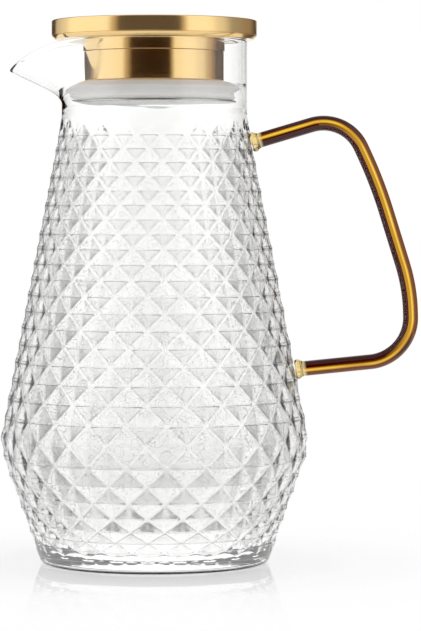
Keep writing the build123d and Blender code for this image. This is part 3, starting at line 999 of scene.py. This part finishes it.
slope_up = height_ramp([(5, 0.32), (46, 0.32), (50, 0.50), (57, 0.52), (59, 0.69), (236, 0.69)])
lean = add_math(tree, "SUBTRACT", normal.outputs["Z"], add_math(tree, "MULTIPLY_ADD", slope_up, 2, -1.19))
shade_depth = height_ramp([(8, 0.2), (25, 0.45), (36, 0.8), (60, 1.0), (110, 0.85), (150, 0.55), (195, 0.4)])
belt_shade = height_ramp([(24, 1.0), (34, 0.88), (42, 0.82), (50, 0.82), (58, 0.92), (68, 1.0)])
# Painted grey shade on the lower facets, by how far the normal leans down.
painted_facet_shade = add_ramp(tree, add_math(tree, "ADD", lean, 0.5), [
    (0.0, 0.08), (0.2, 0.12), (0.3, 0.74), (0.42, 0.78), (0.48, 1.0), (1.0, 1.0)], "LINEAR")
upper_facet = add_ramp(tree, add_math(tree, "ADD", normal.outputs["Z"], 0.5), [(0.14, 0.0), (0.22, 1.0), (1.0, 1.0)])
# In the lowest rows the upper facets get a painted grey shade as well.
lower_rows_only = height_ramp([(14, 0.0), (26, 0.7), (34, 1.0), (46, 1.0), (50, 0.0)])
painted_facet_shade = add_mix(tree, add_math(tree, "MULTIPLY", upper_facet, lower_rows_only), painted_facet_shade, (0.68, 0.68, 0.68))
# A painted dark line under each bead, broken up by noise.
painted_bead_line = add_ramp(tree, add_math(tree, "ADD", lean, 0.5), [(0.0, 1.0), (0.2, 1.0), (0.3, 0.0)], "LINEAR")
broken = add_ramp(tree, add_noise(tree, coords.outputs["Object"], 120.0, 0.0), [(0.40, 0.0), (0.54, 0.85)])
painted_facet_shade = add_mix(tree, add_math(tree, "MULTIPLY", painted_bead_line, broken), painted_facet_shade, (0.8, 0.8, 0.8))
sideways = add_math(tree, "DIVIDE", add_math(
    tree, "SUBTRACT", add_math(tree, "MULTIPLY", normal.outputs["Y"], place.outputs["X"]),
    add_math(tree, "MULTIPLY", normal.outputs["X"], place.outputs["Y"])), from_axis)
# The steep sides of the channels get painted dark shade, by how far the normal turns sideways.
painted_channel_shade = add_ramp(tree, add_math(tree, "ABSOLUTE", sideways), [(0.0, 1.0), (0.19, 1.0), (0.27, 0.62), (0.45, 0.3)])
painted_facet_shade = add_mix(tree, 1.0, painted_facet_shade, painted_channel_shade, "MULTIPLY")
wobble = add_noise(tree, coords.outputs["Object"], 210.0, 1.5)
# Painted dark strokes along the ripples; the same noise also bumps the surface below.
painted_ripple_shade = add_ramp(tree, wobble, [
    (0.0, 1.0), (0.445, 1.0), (0.47, 0.6), (0.495, 1.0), (0.56, 1.0), (0.585, 0.7), (0.61, 1.0)])
painted_facet_shade = add_mix(tree, 1.0, painted_facet_shade, painted_ripple_shade, "MULTIPLY")
patches = add_ramp(tree, add_noise(tree, coords.outputs["Object"], 95.0, 0.0), [(0.35, 0.90), (0.6, 1.0)])
painted_facet_shade = add_mix(tree, 1.0, painted_facet_shade, patches, "MULTIPLY")
# The painted shade is scaled by height, strongest a little above the waist, and a painted belt of shade sits at and
# below the waist.
painted_facet_shade = add_mix(tree, 1.0, add_mix(tree, shade_depth, (1.0, 1.0, 1.0), painted_facet_shade), belt_shade, "MULTIPLY")

# %% [markdown]
# At the sides of the belly the facets are seen at a low angle. There a painted shine is added
# as emission, and only the sides of the channels and the beads are painted dark, as thin curved
# strokes. Layer Weight tells how low the angle is. Low on the heel a painted glow is added as
# emission too.

# %% Painted strokes and shine at the sides of the belly
# Painted dark strokes on the channel sides, the beads and the ripples.
painted_side_strokes = add_mix(tree, 1.0,
                 add_ramp(tree, add_math(tree, "ABSOLUTE", sideways), [(0.0, 1.0), (0.2, 1.0), (0.3, 0.25), (0.5, 0.1)]),
                 add_ramp(tree, add_math(tree, "ADD", lean, 0.5), [(0.0, 0.03), (0.2, 0.1), (0.3, 0.9), (0.42, 0.95)]), "MULTIPLY")
painted_side_strokes = add_mix(tree, 1.0, painted_side_strokes, add_ramp(tree, wobble, [
    (0.0, 1.0), (0.44, 1.0), (0.465, 0.3), (0.49, 1.0), (0.57, 1.0), (0.59, 0.4), (0.61, 1.0)]), "MULTIPLY")
low_angle = tree.nodes.new("ShaderNodeLayerWeight")
low_angle.inputs["Blend"].default_value = 0.5
at_the_side = add_ramp(tree, low_angle.outputs["Facing"], [(0.12, 0.0), (0.55, 1.0)])
painted_facet_shade = add_mix(tree, at_the_side, painted_facet_shade, painted_side_strokes)
# Painted shine: emission on the outer facets that grows at low angles.
painted_shine = add_ramp(tree, low_angle.outputs["Facing"], [(0.3, 0.0), (0.6, 0.05), (0.85, 0.11), (0.95, 0.07), (1.0, 0.0)])
facing_out = add_math(tree, "SUBTRACT", 1.0, tree.nodes.new("ShaderNodeNewGeometry").outputs["Backfacing"])
outer_facets = add_math(tree, "MULTIPLY", facing_out, add_math(
    tree, "MULTIPLY", add_math(tree, "SUBTRACT", 1.0, inner_side), in_belly))
tree.links.new(add_mix(tree, outer_facets, tint, add_mix(tree, 1.0, tint, painted_facet_shade, "MULTIPLY")),
               shader.inputs["Base Color"])
painted_shine = add_mix(tree, 1.0, painted_shine, add_mix(tree, outer_facets, (0.0, 0.0, 0.0), painted_facet_shade), "MULTIPLY")
# Painted glow in the heel, as emission on its outside.
painted_heel_glow = height_ramp([(0.3, 0.0), (1.5, 0.16), (7, 0.2), (16, 0.1), (24, 0.0)])
painted_heel_glow = add_math(tree, "MULTIPLY", painted_heel_glow, add_math(tree, "MULTIPLY", facing_out, add_math(
    tree, "GREATER_THAN", add_math(tree, "MULTIPLY", from_axis, 10), wall_middle)))
tree.links.new(add_mix(tree, 1.0, painted_shine, painted_heel_glow, "ADD"), shader.inputs["Emission Color"])
shader.inputs["Emission Strength"].default_value = 1.0
bump = shader.inputs["Normal"].links[0].from_node
wobble_height = add_math(tree, "MULTIPLY", add_math(tree, "MULTIPLY", wobble, in_belly), 1.2)
tree.links.new(add_math(tree, "ADD", bump.inputs["Height"].links[0].from_socket, wobble_height), bump.inputs["Height"])

# %% [markdown]
# The rod is deep amber, and its colour carries painted light and shade. A painted golden line
# stands where it is seen through its middle, and its edges are painted nearly black, as where the
# light runs a long way round inside it. Layer Weight tells the middle from the edges. The painted
# golden line lies a little to the outer side of the handle's loop, and it is narrower in the arms.
# Half the square of the distance from that line is what Layer Weight gives, less the part of the
# normal that points outwards. The colour is taken where light enters the rod.

# %% Amber glass with painted light and shade
amber, tree, shader = new_material("amber_glass_rod")
facing = tree.nodes.new("ShaderNodeLayerWeight")
facing.inputs["Blend"].default_value = 0.5
group = add_group(tree, waves, {"Scale": 60})
coords = tree.nodes.new("ShaderNodeTexCoord")
place = tree.nodes.new("ShaderNodeSeparateXYZ")
tree.links.new(coords.outputs["Object"], place.inputs[0])
normal = tree.nodes.new("ShaderNodeSeparateXYZ")
tree.links.new(coords.outputs["Normal"], normal.inputs[0])
lower_arm = add_ramp(tree, place.outputs["Z"], [(0.086, 1.0), (0.093, 1.0), (0.108, 0.0)])
upper_arm = add_ramp(tree, place.outputs["Z"], [(0.188, 0.0), (0.2, 1.0)])
stub = add_ramp(tree, place.outputs["X"], [(0.075, 1.0), (0.082, 0.0)])
upper_arm = add_math(tree, "MAXIMUM", upper_arm, add_math(
    tree, "MULTIPLY", stub, add_ramp(tree, place.outputs["Z"], [(0.15, 0.0), (0.18, 1.0)])))
long_run = add_math(tree, "SUBTRACT", add_math(tree, "SUBTRACT", 1.0, lower_arm), upper_arm)
outer_side = add_math(tree, "ADD", add_math(tree, "MULTIPLY", long_run, normal.outputs["X"]), add_math(
    tree, "MULTIPLY", add_math(tree, "SUBTRACT", upper_arm, lower_arm), normal.outputs["Z"]))
line_place = add_math(tree, "ADD", add_math(tree, "MULTIPLY", long_run, 0.22), add_math(
    tree, "MULTIPLY", add_math(tree, "ADD", upper_arm, lower_arm), 0.26))
square = add_math(tree, "SUBTRACT", add_math(tree, "MULTIPLY_ADD", add_math(
    tree, "MULTIPLY", line_place, line_place), 0.5, facing.outputs["Facing"]),
    add_math(tree, "MULTIPLY", line_place, outer_side))
narrow = add_math(tree, "ADD", add_math(tree, "MULTIPLY_ADD", upper_arm, 0.6, 1.6), add_math(
    tree, "MULTIPLY", lower_arm, 0.3))
swum = add_math(tree, "MULTIPLY_ADD", add_math(tree, "SUBTRACT", group.outputs["Height"], 0.5), 0.05, add_math(
    tree, "MULTIPLY", square, narrow))
# Amber colour with painted light and shade: a golden line in the middle, near black at the edges.
amber_and_painted_light = add_ramp(tree, swum, [
    (0.0, (1.0, 0.62, 0.012)), (0.02, (0.98, 0.42, 0.003)), (0.045, (0.42, 0.11, 0.0005)), (0.08, (0.14, 0.02, 0.0)),
    (0.105, (0.02, 0.0007, 0.0)), (0.14, (0.0022, 0.0, 0.0)), (0.3, (0.0012, 0.0, 0.0)), (1.0, (0.0012, 0.0, 0.0)),
], "LINEAR")
# A painted brown band of shade on the inner side of the long run.
painted_inner_band = add_ramp(tree, add_math(tree, "ADD", outer_side, 0.5), [(0.2, 0.0), (0.27, 1.0), (0.6, 1.0), (0.68, 0.0)])
amber_and_painted_light = add_mix(tree, add_math(tree, "MULTIPLY", painted_inner_band, long_run), amber_and_painted_light, (0.34, 0.08, 0.0012))
# On the outer side the painted black edges are lifted to a painted dark brown light.
painted_lift_side = add_ramp(tree, outer_side, [(0.0, 0.0), (0.42, 0.0), (0.6, 1.0)])
painted_lift_share = add_math(tree, "MULTIPLY", painted_lift_side, add_math(tree, "MULTIPLY_ADD", lower_arm, 0.6, long_run))
amber_and_painted_light = add_mix(tree, painted_lift_share, amber_and_painted_light, add_mix(tree, 1.0, amber_and_painted_light, (0.035, 0.0022, 0.0), "LIGHTEN"))
out_of_body = add_math(tree, "MULTIPLY_ADD", place.outputs["Z"], 0.194, add_math(tree, "SUBTRACT", place.outputs["X"], 0.0813))
# Painted golden light at the ends of the rod, next to the body.
painted_end_light = add_ramp(tree, add_math(tree, "MULTIPLY", out_of_body, 100), [(0.0, 1.0), (0.25, 0.8), (0.5, 0.0)])
amber_and_painted_light = add_mix(tree, painted_end_light, amber_and_painted_light, (0.90, 0.55, 0.12))
backfacing = tree.nodes.new("ShaderNodeNewGeometry").outputs["Backfacing"]
tree.links.new(add_mix(tree, backfacing, amber_and_painted_light, (1.0, 1.0, 1.0)), shader.inputs["Base Color"])
shader.inputs["Roughness"].default_value = 0.02
shader.inputs["IOR"].default_value = 1.5
shader.inputs["Specular IOR Level"].default_value = 0.06
shader.inputs["Transmission Weight"].default_value = 1.0
add_bump(tree, shader, group.outputs["Height"], 0.1 * mm)
handle.data.materials.append(amber)

# %% [markdown]
# The gold colour is a hard coat on brushed steel: a metal with a warm base colour, and spun grain
# in its height and its roughness. The rings are fine, so they only soften the reflections.

# %% Gold and plain steel
def steel_finish(name, dark, light, roughness, rings, depth):
    """Brushed steel with spun grain; dark and light are the colours of its streaks."""
    material, tree, shader = new_material(name)
    group = add_group(tree, spun, {"Rings": rings, "Smear": 3})
    tree.links.new(add_mix(tree, group.outputs["Streak"], dark, light), shader.inputs["Base Color"])
    rough = add_math(tree, "MULTIPLY_ADD", group.outputs["Height"], 0.12, roughness)
    tree.links.new(rough, shader.inputs["Roughness"])
    shader.inputs["Metallic"].default_value = 1.0
    add_bump(tree, shader, group.outputs["Height"], depth)
    return material


gold_steel = steel_finish("gold_polished_steel", (0.94, 0.67, 0.30), (0.98, 0.72, 0.35), 0.07, 4000, 0.004 * mm)
gold_satin = steel_finish("gold_satin_steel", (0.94, 0.65, 0.28), (0.98, 0.71, 0.34), 0.08, 4000, 0.006 * mm)
gold_satin.node_tree.nodes["Principled BSDF"].inputs["Metallic"].default_value = 0.9
plain_steel = steel_finish("plain_brushed_steel", (0.56, 0.56, 0.55), (0.66, 0.66, 0.65), 0.2, 4000, 0.004 * mm)
for piece in (pan, closing_plate):
    piece.data.materials.append(gold_satin)
for piece in (collar, drum):
    piece.data.materials.append(gold_steel)
plate.data.materials.append(plain_steel)

# %% [markdown]
# Silicone is soft, pale and slightly see-through: light goes a little way in and comes out again.
# The plastic core in the lid is plain and matt, with the fine grain of its mould.

# %% Silicone and plastic
silicone, tree, shader = new_material("pale_silicone")
place = tree.nodes.new("ShaderNodeTexCoord").outputs["Object"]
cloud = add_noise(tree, place, 60.0)
tree.links.new(add_mix(tree, cloud, (0.92, 0.905, 0.89), (0.95, 0.94, 0.93)), shader.inputs["Base Color"])
shader.inputs["Roughness"].default_value = 0.38
shader.inputs["Subsurface Weight"].default_value = 0.25
shader.inputs["Subsurface Radius"].default_value = (1.5 * mm, 1.4 * mm, 1.3 * mm)
shader.inputs["Subsurface Scale"].default_value = 1.0
# A faint warm emission is a painted glow that brightens the seal.
shader.inputs["Emission Color"].default_value = (1.0, 0.97, 0.94, 1)
shader.inputs["Emission Strength"].default_value = 0.16
add_bump(tree, shader, add_noise(tree, place, 900.0), 0.01 * mm)
seal.data.materials.append(silicone)

plastic, tree, shader = new_material("matt_white_plastic")
place = tree.nodes.new("ShaderNodeTexCoord").outputs["Object"]
tree.links.new(add_mix(tree, add_noise(tree, place, 80.0), (0.78, 0.77, 0.74), (0.84, 0.83, 0.80)), shader.inputs["Base Color"])
shader.inputs["Roughness"].default_value = 0.55
add_bump(tree, shader, add_noise(tree, place, 1500.0), 0.01 * mm)
for node, material in (("lid_plug", plastic), ("lid_boss", plain_steel), ("lid_screw", plain_steel)):
    for material_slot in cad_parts[node].material_slots:
        material_slot.material = material
print("materials", len(bpy.data.materials))
